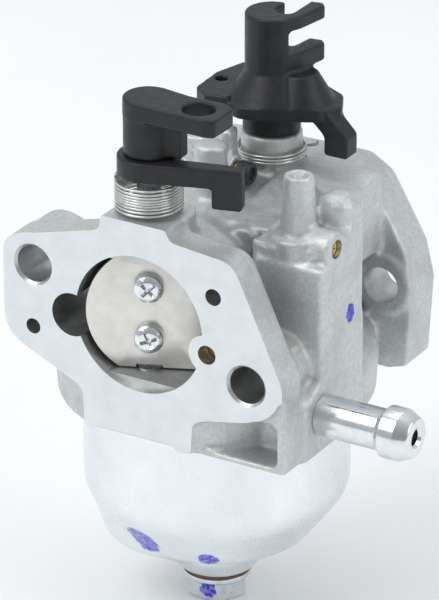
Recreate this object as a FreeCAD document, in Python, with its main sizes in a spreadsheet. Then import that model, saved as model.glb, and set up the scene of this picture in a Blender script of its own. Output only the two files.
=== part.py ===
import FreeCAD, Part
import math
import os
import Sketcher

# Float carburetor for a small upright-shaft engine.
# X runs across the engine towards the fuel nipple, Y runs with the air from the air-cleaner
# face to the engine face, Z is up. The origin is the bore axis at the air-cleaner face.

doc = FreeCAD.newDocument("carburetor")
sheet = doc.addObject("Spreadsheet::Sheet", "sizes")

SIZES = [
    # flanges and the studs that clamp them
    ("stud_x", 20.1), ("stud_z", 6.082), ("stud_hole_r", 3.2), ("stud_chamfer", 0.45),
    ("stud_boss_r", 5.7), ("stud_boss_depth", 11.0),
    ("front_flange_t", 6.2), ("body_depth", 53.0), ("rear_flange_t", 7.5), ("lobe_r", 6.0), ("recess", 0.7),
    # bore
    ("mouth_r", 12.0), ("mouth_flat", 10.2), ("mouth_lip", 1.0), ("venturi_start", 18.0),
    ("venturi_r", 8.4), ("throat_end", 27.0), ("throttle_bore_r", 9.5), ("throttle_bore_start", 34.0),
    ("barrel_r", 14.2), ("barrel_waist_r", 12.4),
    # float chamber and bowl, about their own upright axis
    ("bowl_y", 25.0), ("chamber_r", 27.0), ("chamber_bottom", -20.6), ("chamber_top", -9.0),
    ("cavity_r", 20.8), ("cavity_roof", -15.2), ("tower_r", 4.8), ("tower_bottom", -53.4),
    ("bowl_r", 22.5), ("bowl_wall", 0.9), ("bowl_floor", -54.4),
    # right-hand wall and the fuel nipple
    ("wall_x", 27.7), ("nipple_y", 11.7), ("nipple_z", -14.1), ("nipple_tip_x", 45.0),
    ("nipple_r", 3.5), ("nipple_bulb_r", 4.4), ("nipple_bore_r", 1.35),
    # choke
    ("choke_x", -1.5), ("choke_y", 6.0), ("choke_rest_turn", 25.0), ("choke_shaft_r", 2.0),
    ("choke_boss_top", 17.8), ("choke_plate_r", 11.85), ("choke_plate_flat", 9.95),
    ("choke_arm_low", 24.4), ("choke_arm_high", 27.8), ("choke_arm_turn", 15.8),
    ("choke_lever_low", 34.6), ("choke_lever_high", 37.7),
    # throttle
    ("throttle_y", 43.0), ("throttle_shaft_r", 2.5), ("throttle_boss_r", 5.2), ("seal_r", 3.9),
    ("throttle_boss_top", 18.9), ("throttle_plate_r", 9.38), ("throttle_rest_turn", -8.0),
    ("hub_low", 19.1), ("rim_low", 22.95), ("rim_high", 25.2), ("fork_top", 39.8),
    # float and fuel valve
    ("pin_y", 7.6), ("pin_z", -25.5), ("pin_r", 0.8), ("valve_y", 11.7), ("seat_low", -20.0),
    ("float_r", 19.0), ("float_hole_r", 7.0), ("float_low", -40.0), ("float_high", -29.0),
    # clearances
    ("running", 0.05), ("fixed_gap", 0.03),
]


class Size:
    """A length that keeps both its value and the sheet expression that gives it."""

    def __init__(self, value, text):
        self.value = value
        self.text = text

    def __add__(self, other):
        other = as_size(other)
        return Size(self.value + other.value, f"({self.text} + {other.text})")

    def __sub__(self, other):
        other = as_size(other)
        return Size(self.value - other.value, f"({self.text} - {other.text})")

    def __mul__(self, other):
        other = as_size(other)
        return Size(self.value * other.value, f"({self.text} * {other.text})")

    def __neg__(self):
        return as_size(0) - self

    def __radd__(self, other):
        return as_size(other) + self

    def __rsub__(self, other):
        return as_size(other) - self

    __rmul__ = __mul__


class Sizes:
    """Every alias of the sheet, as a Size."""


def as_size(value):
    if isinstance(value, Size):
        return value
    return Size(float(value), f"({float(value):.6f})")


def fill_sheet():
    sizes = Sizes()
    for row, (alias, value) in enumerate(SIZES, start=1):
        sheet.set(f"A{row}", alias.replace("_", " "))
        sheet.set(f"B{row}", str(value))
        sheet.setAlias(f"B{row}", alias)
        setattr(sizes, alias, Size(value, f"sizes.{alias}"))
    doc.recompute()
    return sizes


s = fill_sheet()


# ---------------------------------------------------------------- building blocks

def bind(obj, path, value):
    obj.setExpression(path, as_size(value).text)


TURN_TO = {
    "X": FreeCAD.Rotation(FreeCAD.Vector(0, 1, 0), 90),
    "Y": FreeCAD.Rotation(FreeCAD.Vector(1, 0, 0), -90),
    "Z": FreeCAD.Rotation(),
}


def about_z(angle):
    return FreeCAD.Rotation(FreeCAD.Vector(0, 0, 1), as_size(angle).value)


def put(obj, x, y, z, rotation=None):
    """Place an object's own origin at x, y, z with a rotation."""
    obj.Placement = FreeCAD.Placement(FreeCAD.Vector(0, 0, 0), rotation or FreeCAD.Rotation())
    bind(obj, "Placement.Base.x", x)
    bind(obj, "Placement.Base.y", y)
    bind(obj, "Placement.Base.z", z)
    return obj


def rod(name, radius, length, x=0, y=0, z=0, axis="Z", rotation=None):
    """A solid cylinder that starts at x, y, z and runs along an axis."""
    obj = doc.addObject("Part::Cylinder", name)
    bind(obj, "Radius", radius)
    bind(obj, "Height", length)
    return put(obj, x, y, z, rotation or TURN_TO[axis])


def taper(name, radius_1, radius_2, length, x=0, y=0, z=0, axis="Z"):
    obj = doc.addObject("Part::Cone", name)
    bind(obj, "Radius1", radius_1)
    bind(obj, "Radius2", radius_2)
    bind(obj, "Height", length)
    return put(obj, x, y, z, TURN_TO[axis])


def block(name, low, high):
    """A box from one corner to the opposite one."""
    obj = doc.addObject("Part::Box", name)
    for side, a, b in zip(("Length", "Width", "Height"), low, high):
        bind(obj, side, as_size(b) - a)
    return put(obj, *low)


def fused(name, parts):
    obj = doc.addObject("Part::MultiFuse", name)
    obj.Shapes = parts
    return obj


def cut(name, base, tools):
    obj = doc.addObject("Part::Cut", name)
    obj.Base = base
    obj.Tool = tools[0] if len(tools) == 1 else fused(name + "_tools", tools)
    return obj


def common(name, base, tool):
    obj = doc.addObject("Part::Common", name)
    obj.Base = base
    obj.Tool = tool
    return obj


# A sketch plane's role, and the sign of its normal along the world axis it crosses.
PLANES = {"XY": ("XY_Plane", 1), "XZ": ("XZ_Plane", -1), "YZ": ("YZ_Plane", 1)}


def new_sketch(body, plane, level=0):
    role, sign = PLANES[plane]
    origin = [f for f in body.Origin.OriginFeatures if f.Role == role][0]
    sketch = body.newObject("Sketcher::SketchObject", body.Name + "_sketch")
    sketch.AttachmentSupport = (origin, "")
    sketch.MapMode = "FlatFace"
    bind(sketch, "AttachmentOffset.Base.z", as_size(level) * sign)
    return sketch


def dimension(sketch, kind, where, value):
    """A datum on a point or a curve, bound to the sheet."""
    size = as_size(value)
    index = sketch.addConstraint(Sketcher.Constraint(kind, *where, size.value))
    sketch.setExpression(f"Constraints[{index}]", size.text)


def outline(sketch, corners):
    """A closed outline through corners (across, up, round-off radius)."""
    points = [FreeCAD.Vector(as_size(a).value, as_size(b).value, 0) for a, b, *_ in corners]
    radii = [corner[2] if len(corner) > 2 else 0 for corner in corners]
    count = len(points)
    starts, ends, arcs = [], [], []
    for i, point in enumerate(points):
        to_last = (points[i - 1] - point).normalize()
        to_next = (points[(i + 1) % count] - point).normalize()
        if not radii[i]:
            starts.append(point)
            ends.append(point)
            arcs.append(None)
            continue
        half = to_last.getAngle(to_next) / 2
        reach = radii[i] / math.tan(half)
        centre = point + (to_last + to_next).normalize() * (radii[i] / math.sin(half))
        ends.append(point + to_last * reach)
        starts.append(point + to_next * reach)
        arcs.append(centre)
    lines = [sketch.addGeometry(Part.LineSegment(starts[i], ends[(i + 1) % count]))
             for i in range(count)]
    for i in range(count):
        before = lines[i - 1]
        if arcs[i] is None:
            sketch.addConstraint(Sketcher.Constraint("Coincident", before, 2, lines[i], 1))
            dimension(sketch, "DistanceX", (-1, 1, lines[i], 1), corners[i][0])
            dimension(sketch, "DistanceY", (-1, 1, lines[i], 1), corners[i][1])
            continue
        round_corner(sketch, before, lines[i], ends[i], starts[i], arcs[i], corners[i])


def round_corner(sketch, before, after, first, last, centre, corner):
    """An arc between two lines, and the sharp corner that their directions still meet at."""
    a = math.atan2(first.y - centre.y, first.x - centre.x)
    b = math.atan2(last.y - centre.y, last.x - centre.x)
    left_turn = (b - a) % (2 * math.pi) < math.pi
    low, high = (a, b) if left_turn else (b, a)
    circle = Part.Circle(centre, FreeCAD.Vector(0, 0, 1), corner[2])
    arc = sketch.addGeometry(Part.ArcOfCircle(circle, low, high))
    start, end = (1, 2) if left_turn else (2, 1)
    sketch.addConstraint(Sketcher.Constraint("Tangent", before, 2, arc, start))
    sketch.addConstraint(Sketcher.Constraint("Tangent", arc, end, after, 1))
    sketch.addConstraint(Sketcher.Constraint("Radius", arc, corner[2]))
    sharp = FreeCAD.Vector(as_size(corner[0]).value, as_size(corner[1]).value, 0)
    point = sketch.addGeometry(Part.Point(sharp), True)
    sketch.addConstraint(Sketcher.Constraint("PointOnObject", point, 1, before))
    sketch.addConstraint(Sketcher.Constraint("PointOnObject", point, 1, after))
    dimension(sketch, "DistanceX", (-1, 1, point, 1), corner[0])
    dimension(sketch, "DistanceY", (-1, 1, point, 1), corner[1])


def prism(name, plane, level, length, corners):
    """A body padded from an outline, towards the plane's positive world axis."""
    body = doc.addObject("PartDesign::Body", name)
    sketch = new_sketch(body, plane, level)
    outline(sketch, corners)
    pad = body.newObject("PartDesign::Pad", name + "_pad")
    pad.Profile = sketch
    pad.Reversed = PLANES[plane][1] < 0
    bind(pad, "Length", length)
    return body


def turned(name, corners, x=0, y=0, z=0, axis="Z"):
    """A body revolved from a half outline (radius, height, round-off) about its own axis."""
    body = doc.addObject("PartDesign::Body", name)
    sketch = new_sketch(body, "XZ")
    outline(sketch, corners)
    turn = body.newObject("PartDesign::Revolution", name + "_turn")
    turn.Profile = sketch
    turn.ReferenceAxis = (sketch, ["V_Axis"])
    turn.Angle = 360
    return put(body, x, y, z, TURN_TO[axis])


def polar(radius, degrees):
    angle = math.radians(degrees)
    return radius * math.cos(angle), radius * math.sin(angle)


NODES = []


def node(obj, label):
    """Mark an object as a finished sub-part; its label names its file."""
    obj.Label = label
    NODES.append(obj)
    return obj


# ---------------------------------------------------------------- the casting

def front_flange():
    """Air-cleaner flange: two stud lobes, a raised choke boss and a cored window low on the right."""
    corners = [
        (-25.8, 10.2, 3.5), (-25.8, -7.1, 6.0), (-10.5, -14.0, 2.0), (-10.5, -20.7),
        (-8.7, -20.7), (-8.5, -19.5), (7.1, -19.5), (7.1, -21.1), (27.0, -21.1, 1.0),
        (26.7, -4.7, 5.0), (17.6, 14.8, 4.0), (5.6, 16.0, 1.5), (5.2, s.choke_boss_top),
        (-7.1, s.choke_boss_top), (-7.3, 15.2, 1.0),
    ]
    plate = prism("flange_plate", "XZ", 0, s.front_flange_t, corners)
    side = prism("flange_side", "XZ", 0, 11.3, [
        (24.8, -21.1), (27.0, -21.1, 1.0), (27.0, -9.0, 2.0), (24.8, -9.0)])
    floor = prism("window_floor", "XZ", 0, 11.3, [
        (7.1, -21.1), (26.9, -21.1), (26.9, -19.9), (7.1, -19.9)])
    window = prism("flange_window", "XZ", -1, 13.0, [
        (9.45, -14.9, 0.8), (20.6, -12.5, 3.0), (25.3, -12.3, 1.2), (25.3, -19.9), (9.45, -19.9)])
    corner = block("corner_recess", (20.6, -1, -23.0), (29.0, s.recess, -7.5))
    lobe = rod("stud_lobe", s.lobe_r, 4.0, s.stud_x, -2, -s.stud_z, "Y")
    sill = block("sill_recess", (9.45, -1, -23.0), (29.0, s.recess, -19.0))
    return cut("front_flange", fused("flange_blank", [plate, side, floor]),
               [window, cut("round_the_lobe", corner, [lobe]), sill])


def rear_flange():
    """Engine flange."""
    corners = [
        (-26.0, 11.5, 4.5), (-26.0, -7.0, 6.0), (-14.0, -13.0, 3.0), (-14.0, -20.0, 2.0),
        (21.0, -21.6, 1.0), (24.9, -20.4, 1.5), (25.8, -6.0, 4.0), (24.2, 0.4, 3.0),
        (17.8, 11.4, 3.5), (13.6, 13.9, 2.5), (-9.0, 13.6, 3.0),
    ]
    return prism("rear_flange", "XZ", s.body_depth - s.rear_flange_t, s.rear_flange_t, corners)


def stud_bosses():
    """Humps behind each flange round the two stud holes."""
    bosses = []
    for side in (-1, 1):
        x, z = s.stud_x * side, s.stud_z * -side
        bosses.append(rod("stud_boss_front", s.stud_boss_r, s.stud_boss_depth - 0.1, x, 0.1, z, "Y"))
        start = s.body_depth - s.rear_flange_t - s.recess
        bosses.append(rod("stud_boss_rear", s.stud_boss_r - 0.4, s.rear_flange_t, x, start, z, "Y"))
    return bosses


def barrel():
    return turned("barrel", [
        (0, 0.1), (s.barrel_r, 0.1), (s.barrel_r, 15.0, 3.0), (s.barrel_waist_r, 19.0, 3.0),
        (s.barrel_waist_r, 37.0, 3.0), (13.6, 41.0, 3.0), (13.6, 52.9), (0, 52.9)], axis="Y")


def chamber():
    """Upright drum over the bowl, cut flat by the two flange faces."""
    drum = turned("chamber_drum", [
        (0, s.chamber_bottom), (26.6, s.chamber_bottom, 0.5), (s.chamber_r, s.chamber_top - 4, 3.0),
        (19.0, s.chamber_top + 1.5, 4.0), (0, s.chamber_top + 1.5)], y=s.bowl_y)
    room = block("chamber_room", (-30, 0.1, -30), (27.6, s.body_depth - 0.1, 5))
    return common("chamber", drum, room)


def right_wall():
    """Wall that carries the fuel nipple, an upright round boss behind the post, and a web to the rear."""
    wall = prism("wall", "YZ", 15.0, s.wall_x - 15.0, [
        (11.2, -8.2, 1.5), (6.9, -10.5, 1.0), (6.5, -21.0), (25.4, -21.0, 2.0), (25.4, -1.0, 4.0),
        (23.4, 3.0, 3.0), (23.4, 15.0, 2.0), (16.0, 15.0, 1.5), (14.0, 11.4, 1.5), (11.2, 11.4, 0.8)])
    lean = prism("wall_core", "XY", -25.0, 60.0, [
        (10.0, 0.0), (s.wall_x, 0.0), (s.wall_x, 30.0), (19.0, 26.0, 2.0), (10.0, 18.0)])
    hump = turned("wall_hump", [
        (0, 0.3), (3.5, 0.3), (3.4, 20.2, 2.6), (0, 20.2)], 24.0, 22.55)
    web_plan = prism("web_plan", "XY", 0.0, 30.0, [
        (27.3, 21.5), (27.4, 25.0, 1.5), (21.9, 34.4, 3.0), (17.4, 42.5, 2.0), (17.0, 47.0),
        (10.0, 47.0), (10.0, 33.0), (21.0, 24.0)])
    web_side = prism("web_side", "YZ", 9.0, 20.0, [
        (20.0, 1.0), (46.0, 1.0), (46.0, 13.6), (38.0, 14.0, 6.0), (27.0, 18.6, 3.0), (20.0, 18.6)])
    return fused("right_side", [common("wall_leaned", wall, lean), hump, common("web", web_plan, web_side)])


def top_bosses():
    """Everything that stands on top of the barrel."""
    choke_boss = prism("choke_boss", "XY", 6.0, s.choke_boss_top - 6.0, [
        (-7.1, 0.1), (5.2, 0.1), (5.6, 11.5, 3.5), (-7.4, 12.6, 3.5)])
    throttle_boss = turned("throttle_boss", [
        (0, 6.0), (7.2, 6.0), (6.4, 10.8, 3.0), (s.throttle_boss_r, 13.2, 1.5),
        (s.throttle_boss_r, s.throttle_boss_top), (0, s.throttle_boss_top)], 0, s.throttle_y)
    deck = prism("deck", "XY", 0, 11.6, [
        (-9.0, 22.0, 3.0), (17.0, 20.0, 2.0), (19.5, 45.5), (-9.0, 45.5)])
    shoulder = prism("shoulder", "YZ", 4.0, 15.6, [
        (24.0, 0.0), (46.0, 0.0), (46.0, 14.0), (38.0, 13.8, 5.0), (24.0, 11.0)])
    post_base = rod("post_base", 4.5, 9.8, 20.5, 16.0, 5.0)
    post = taper("post", 3.1, 2.45, 10.8, 20.5, 16.0, 14.5)
    plug_boss = rod("plug_boss", 2.9, 6.2, 21.5, 15.8, 13.6, "X")
    shelf = prism("post_shelf", "XY", 2.0, 11.4, [
        (13.6, 12.4, 1.2), (18.5, 11.4), (25.0, 12.5), (25.0, 21.0), (14.4, 21.4, 2.0)])
    lay = about_z(16).multiply(TURN_TO["Y"])
    passage = rod("idle_passage", 2.5, 12.5, 8.6, 18.0, 9.3, rotation=lay)
    middle = taper("middle_boss", 3.2, 2.7, 12.5, -2.4, 27.0, 9.0)
    stop = block("stop_pillar", (-3.9, 32.2, 8.0), (-2.0, 35.6, 21.6))
    screw_boss = rod("idle_screw_boss", 2.6, 7.0, -8.0, 32.9, 14.7, "X")
    return [choke_boss, throttle_boss, deck, shoulder, post_base, post, plug_boss, shelf, passage,
            middle, stop, screw_boss]


def chamber_inside():
    """Seat boss, hinge posts, fuel passage ridge and the emulsion tower, inside the cavity."""
    tower = rod("tower", s.tower_r, 40.0, 0, s.bowl_y, s.tower_bottom)
    seat_boss = rod("seat_boss", 4.2, 9.0, 0, s.valve_y, s.seat_low)
    ridge = rod("passage_ridge", 3.1, 24.0, 0, s.nipple_y, s.nipple_z, "X")
    posts = []
    for x in (-8.0, 5.9):
        posts.append(block("hinge_post", (x, s.pin_y - 1.3, s.pin_z - 1.7),
                           (x + 2.1, s.pin_y + 1.7, s.cavity_roof + 1)))
    return [tower, seat_boss, ridge] + posts


def bore_cut():
    """Mouth with flats above and below, venturi and throttle bore."""
    lip = rod("mouth_lip", s.mouth_r, s.mouth_lip + 1, 0, -1, 0, "Y")
    mouth = common("mouth", rod("mouth_round", s.mouth_r, s.venturi_start + 1, 0, -1, 0, "Y"),
                   block("mouth_flats", (-20, -1, -s.mouth_flat), (20, s.venturi_start, s.mouth_flat)))
    throat = turned("throat", [
        (0, s.venturi_start - 1), (s.mouth_flat - 0.3, s.venturi_start - 1), (s.venturi_r, s.throat_end - 4, 4.0),
        (s.venturi_r, s.throat_end, 3.0), (s.throttle_bore_r, s.throttle_bore_start, 3.0),
        (s.throttle_bore_r, s.body_depth + 1), (0, s.body_depth + 1)], axis="Y")
    vent = rod("vent_recess", 3.8, 10.0, -12.7, -1, -1.2, "Y")
    return [lip, mouth, throat, vent]


def drillings():
    """Stud holes, shaft holes, passages and the seats of the pressed-in pieces."""
    holes = []
    for side in (-1, 1):
        x, z = s.stud_x * side, s.stud_z * -side
        holes.append(rod("stud_hole", s.stud_hole_r, s.body_depth + 2, x, -1, z, "Y"))
        flare = s.stud_hole_r + s.stud_chamfer
        holes.append(taper("stud_flare", flare, s.stud_hole_r, s.stud_chamfer, x, 0, z, "Y"))
    choke_hole = s.choke_shaft_r + s.running
    throttle_hole = s.throttle_shaft_r + s.running
    holes += [
        rod("locating_hole_left", 1.35, 6.0, -20.2, -1, -5.0, "Y"),
        rod("locating_hole_right", 1.45, 6.0, 14.0, -1, 8.2, "Y"),
        rod("air_passage", 1.65, 9.0, 12.8, -1, -2.3, "Y"),
        rod("choke_hole", choke_hole, 32.0, s.choke_x, s.choke_y, -13.2),
        rod("throttle_hole", throttle_hole, 31.0, 0, s.throttle_y, -11.5),
        rod("seal_seat", s.seal_r + s.fixed_gap, 2.0, 0, s.throttle_y, s.throttle_boss_top - 1.2),
        rod("fuel_hole", 2.5 + s.fixed_gap, 12.6, 16.0, s.nipple_y, s.nipple_z, "X"),
        rod("fuel_passage", 1.3, 19.0, 0, s.nipple_y, s.nipple_z, "X"),
        rod("seat_hole", 2.6 + s.fixed_gap, 4.6, 0, s.valve_y, s.seat_low - 0.1),
        rod("seat_feed", 1.3, 8.0, 0, s.valve_y, s.seat_low),
        rod("plug_hole", 1.6, 6.0, 24.0, 15.8, 13.6, "X"),
        rod("jet_well", 2.2 + s.fixed_gap, 36.6, 0, s.bowl_y, -44.6),
        rod("bolt_thread", 3.0 + s.fixed_gap, 9.5, 0, s.bowl_y, s.tower_bottom - 0.1),
        rod("tower_port", 1.2, 12.0, -6.0, s.bowl_y, -46.3, "X"),
        rod("pilot_well", 1.2, 9.0, 7.5, 25.0, -24.0),
        rod("idle_screw_hole", 1.35 + s.fixed_gap, 9.0, -7.0, 32.9, 14.7, "X"),
        taper("post_dimple", 1.2, 1.9, 1.2, 20.5, 16.0, 24.2),
    ]
    for x in (-9.0, 5.0):
        holes.append(rod("pin_hole", s.pin_r + s.running, 4.0, x, s.pin_y, s.pin_z, "X"))
    return holes


def body_casting():
    shell = fused("casting_outside", [front_flange(), rear_flange(), barrel(), chamber(), right_wall()]
                  + stud_bosses() + top_bosses())
    cavity = rod("float_cavity", s.cavity_r, 20.0, 0, s.bowl_y, s.cavity_roof - 20.0)
    groove = turned("bowl_groove", [
        (20.4, s.chamber_bottom - 1), (23.0, s.chamber_bottom - 1), (23.0, s.chamber_bottom + 2.6),
        (20.4, s.chamber_bottom + 2.6)], y=s.bowl_y)
    hollow = cut("casting_hollow", shell, [cavity, groove] + bore_cut())
    jet_lobe = rod("jet_lobe", 3.4, 4.0, 12.8, 0, -2.3, "Y")
    pilot_boss = rod("pilot_boss", 2.6, 8.0, 7.5, 25.0, -22.6)
    filled = fused("casting_filled", [hollow, jet_lobe, pilot_boss] + chamber_inside())
    node(cut("casting", filled, drillings()), "body_casting")


# ---------------------------------------------------------------- bowl and fuel pieces

def float_bowl():
    """Deep-drawn cup with a sump that swells to one side."""
    wall = s.bowl_wall
    outside = turned("bowl_outside", [
        (0, s.bowl_floor), (6.4, s.bowl_floor, 0.8), (8.9, -50.9, 1.2), (9.2, -49.3, 0.8), (15.8, -46.9, 3.0),
        (s.bowl_r, -38.2, 7.0), (s.bowl_r, s.chamber_bottom + 1.2), (0, s.chamber_bottom + 1.2)])
    inside = turned("bowl_inside", [
        (0, s.bowl_floor + wall), (5.9, s.bowl_floor + wall, 0.5), (8.1, -50.6, 1.0), (8.4, -48.6, 0.5),
        (15.3, -46.1, 2.6), (s.bowl_r - wall, -37.8, 6.2), (s.bowl_r - wall, s.chamber_bottom + 2),
        (0, s.chamber_bottom + 2)])
    sump_x, sump_y = -5.2, -3.1
    sump_out = turned("sump_outside", [
        (0, -52.7), (3.6, -52.7, 2.0), (12.7, -47.4, 3.0), (15.9, -38.0), (0, -38.0)], sump_x, sump_y)
    sump_in = turned("sump_inside", [
        (0, -51.8), (3.3, -51.8, 1.6), (11.8, -46.9, 2.6), (14.9, -37.5), (0, -37.5)], sump_x, sump_y)
    cup = cut("bowl_cup", fused("bowl_blank", [outside, sump_out]),
              [inside, sump_in, rod("bowl_bolt_hole", 3.3, 6.0, 0, 0, s.bowl_floor - 2)])
    put(cup, 0, s.bowl_y, 0)
    node(cup, "float_bowl")


def bowl_gasket():
    node(turned("gasket", [
        (21.15, s.chamber_bottom + 1.3), (22.85, s.chamber_bottom + 1.3),
        (22.85, s.chamber_bottom + 2.5, 0.4), (21.15, s.chamber_bottom + 2.5, 0.4)], y=s.bowl_y),
        "bowl_gasket")


def hexagon(flats):
    """Six corners of a hexagon of a given width across flats."""
    return [polar(flats / 2 / math.cos(math.pi / 6), 60 * i) for i in range(6)]


def bowl_bolt():
    head = prism("bolt_hex", "XY", s.bowl_floor - 5.3, 3.9, hexagon(9.6))
    crown = turned("bolt_crown", [
        (0, s.bowl_floor - 5.3), (4.6, s.bowl_floor - 5.3), (6.4, s.bowl_floor - 3.9),
        (6.4, s.bowl_floor - 1.4), (0, s.bowl_floor - 1.4)])
    collar = turned("bolt_collar", [
        (0, s.bowl_floor - 2.1), (5.6, s.bowl_floor - 2.1, 0.4), (5.9, s.bowl_floor - 0.8),
        (3.0, s.bowl_floor - 0.8), (3.0, s.tower_bottom + 8.6, 0.4), (0, s.tower_bottom + 8.6)])
    bolt = fused("bolt", [common("bolt_head", head, crown), collar])
    node(put(bolt, 0, s.bowl_y, 0), "bowl_bolt")
    washer = turned("washer", [
        (3.1, s.bowl_floor - 0.77), (5.9, s.bowl_floor - 0.77), (5.9, s.bowl_floor - 0.03),
        (3.1, s.bowl_floor - 0.03)], y=s.bowl_y)
    node(washer, "bowl_bolt_washer")


def fuel_nipple():
    """Pressed-in hose nipple, drilled through."""
    start = 17.0
    length = s.nipple_tip_x - start
    pipe = turned("nipple", [
        (s.nipple_bore_r, 0), (2.5, 0), (2.5, s.wall_x - start + 0.02), (s.nipple_r, s.wall_x - start + 0.02),
        (s.nipple_r, 22.2, 0.6), (s.nipple_bulb_r, 23.2, 0.3), (s.nipple_bulb_r, 25.7, 0.4),
        (3.0, length, 0.8), (s.nipple_bore_r, length)], start, s.nipple_y, s.nipple_z, "X")
    node(pipe, "fuel_inlet_nipple")


def fuel_valve():
    """Pressed seat, needle with a soft tip, and the wire clip that hangs it on the float."""
    seat = turned("seat", [
        (0.8, s.seat_low), (2.0, s.seat_low), (2.6, s.seat_low + 0.5), (2.6, s.seat_low + 4.4),
        (0.8, s.seat_low + 4.4)], y=s.valve_y)
    node(seat, "inlet_valve_seat")
    tip = turned("needle_tip", [
        (0, -21.6), (1.2, -21.6), (1.2, -21.0), (0.2, -20.05), (0, -20.05)], y=s.valve_y)
    node(tip, "needle_tip")
    needle = turned("needle", [
        (0, -27.6), (1.0, -27.6, 0.3), (1.0, -26.4), (0.5, -26.4), (0.5, -25.9), (1.55, -25.9),
        (1.55, -22.2), (1.2, -21.63), (0, -21.63)], y=s.valve_y)
    node(needle, "inlet_needle")


def jets():
    emulsion = turned("emulsion", [
        (0.7, -40.4), (2.2, -40.4), (2.2, -38.6), (1.9, -38.0), (1.9, -12.0), (2.2, -11.4),
        (2.2, -8.6), (1.6, -7.4), (0.7, -7.4)], y=s.bowl_y)
    node(emulsion, "emulsion_tube")
    main_jet = turned("main", [
        (0.5, -44.4), (2.2, -44.4), (2.2, -40.6), (0.5, -40.6)], y=s.bowl_y)
    node(main_jet, "main_jet")
    pilot = turned("pilot", [
        (0.3, -24.8), (1.9, -24.8, 0.3), (1.9, -22.7), (1.15, -22.7), (1.15, -16.0), (0.3, -16.0)],
        7.5, 25.0)
    node(pilot, "pilot_jet")
    air = turned("air", [
        (0.45, 3.0), (1.6, 3.0), (1.6, 6.0), (0.45, 6.0)], 12.8, 0, -2.3, "Y")
    node(air, "air_jet")
    plug = turned("plug", [
        (0, 0), (1.55, 0), (1.55, 2.6, 0.3), (0.6, 2.8), (0.5, 2.2), (0, 2.2)], 24.3, 15.8, 13.6, "X")
    node(plug, "passage_plug")


def float_pieces():
    """Twin-lobe float round the tower, its hinge ear and tongue, and the hinge pin."""
    lobes = turned("float_ring", [
        (s.float_hole_r, s.float_low), (s.float_r, s.float_low, 2.5), (s.float_r, s.float_high, 1.2),
        (s.float_hole_r, s.float_high, 1.0)], y=s.bowl_y)
    gap = block("float_gap", (-6.0, 0, s.float_low - 1), (6.0, s.bowl_y - 4, s.float_high - 3.2))
    bridge = block("float_bridge", (-5.2, s.pin_y + 7.2, s.float_high - 3.2), (5.2, s.bowl_y - 7.4, s.float_high))
    arm = block("float_arm", (-5.2, s.pin_y - 1.0, -29.4), (5.2, s.pin_y + 12.0, -28.0))
    ears = []
    for x in (-5.2, 3.4):
        ears.append(prism("float_ear", "YZ", x, 1.8, [
            (s.pin_y - 1.6, -29.4), (s.pin_y + 1.6, -29.4), (s.pin_y + 1.6, s.pin_z + 1.6, 1.4),
            (s.pin_y - 1.6, s.pin_z + 1.6, 1.4)]))
    blank = fused("float_blank", [cut("float_lobes", lobes, [gap]), bridge, arm] + ears)
    float_piece = cut("float_piece", blank,
                      [rod("float_pin_hole", s.pin_r + s.running, 14.0, -7.0, s.pin_y, s.pin_z, "X")])
    node(float_piece, "float")
    node(rod("pin", s.pin_r, 16.6, -8.3, s.pin_y, s.pin_z, "X"), "float_hinge_pin")


# ---------------------------------------------------------------- choke

def choke_pieces():
    turn = about_z(s.choke_rest_turn)
    half = s.choke_plate_flat + 0.03
    shaft = cut("choke_rod", rod("choke_round", s.choke_shaft_r, 46.6, 0, 0, -13.0), [
        block("choke_flat", (-3, -3, -half), (3, 0, half)),
        rod("choke_screw_hole_low", 1.3, 6.0, 0, -1, -4.5, "Y"),
        rod("choke_screw_hole_high", 1.3, 6.0, 0, -1, 4.5, "Y"),
    ])
    node(put(shaft, s.choke_x, s.choke_y, 0, turn), "choke_shaft")

    disc = common("choke_disc", rod("choke_disc_round", s.choke_plate_r, 0.95, 1.5, -0.98, 0, "Y"),
                  block("choke_disc_flats", (-20, -2, -s.choke_plate_flat), (20, 1, s.choke_plate_flat)))
    plate = cut("choke_disc_cut", disc, [
        rod("choke_plate_hole_low", 1.35, 4.0, 0, -2, -4.5, "Y"),
        rod("choke_plate_hole_high", 1.35, 4.0, 0, -2, 4.5, "Y"),
        block("choke_plate_notch", (-2.2, -2, -12), (2.2, 1, -9.45)),
    ])
    node(put(plate, s.choke_x, s.choke_y, 0, turn), "choke_plate")

    screws = []
    for z in (-4.5, 4.5):
        head = turned("choke_screw", [
            (0, -2.75), (1.5, -2.75, 0.4), (2.2, -2.2, 0.3), (2.2, -1.02), (1.27, -1.02), (1.27, 1.9), (0, 1.9)],
            0, 0, z, "Y")
        cross = [block("cross_bar", (-1.2, -3, z - 0.25), (1.2, -1.9, z + 0.25)),
                 block("cross_bar", (-0.25, -3, z - 1.2), (0.25, -1.9, z + 1.2))]
        screws.append(cut("choke_screw_cut", head, cross))
    node(put(fused("choke_screw_pair", screws), s.choke_x, s.choke_y, 0, turn), "choke_plate_screws")


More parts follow.
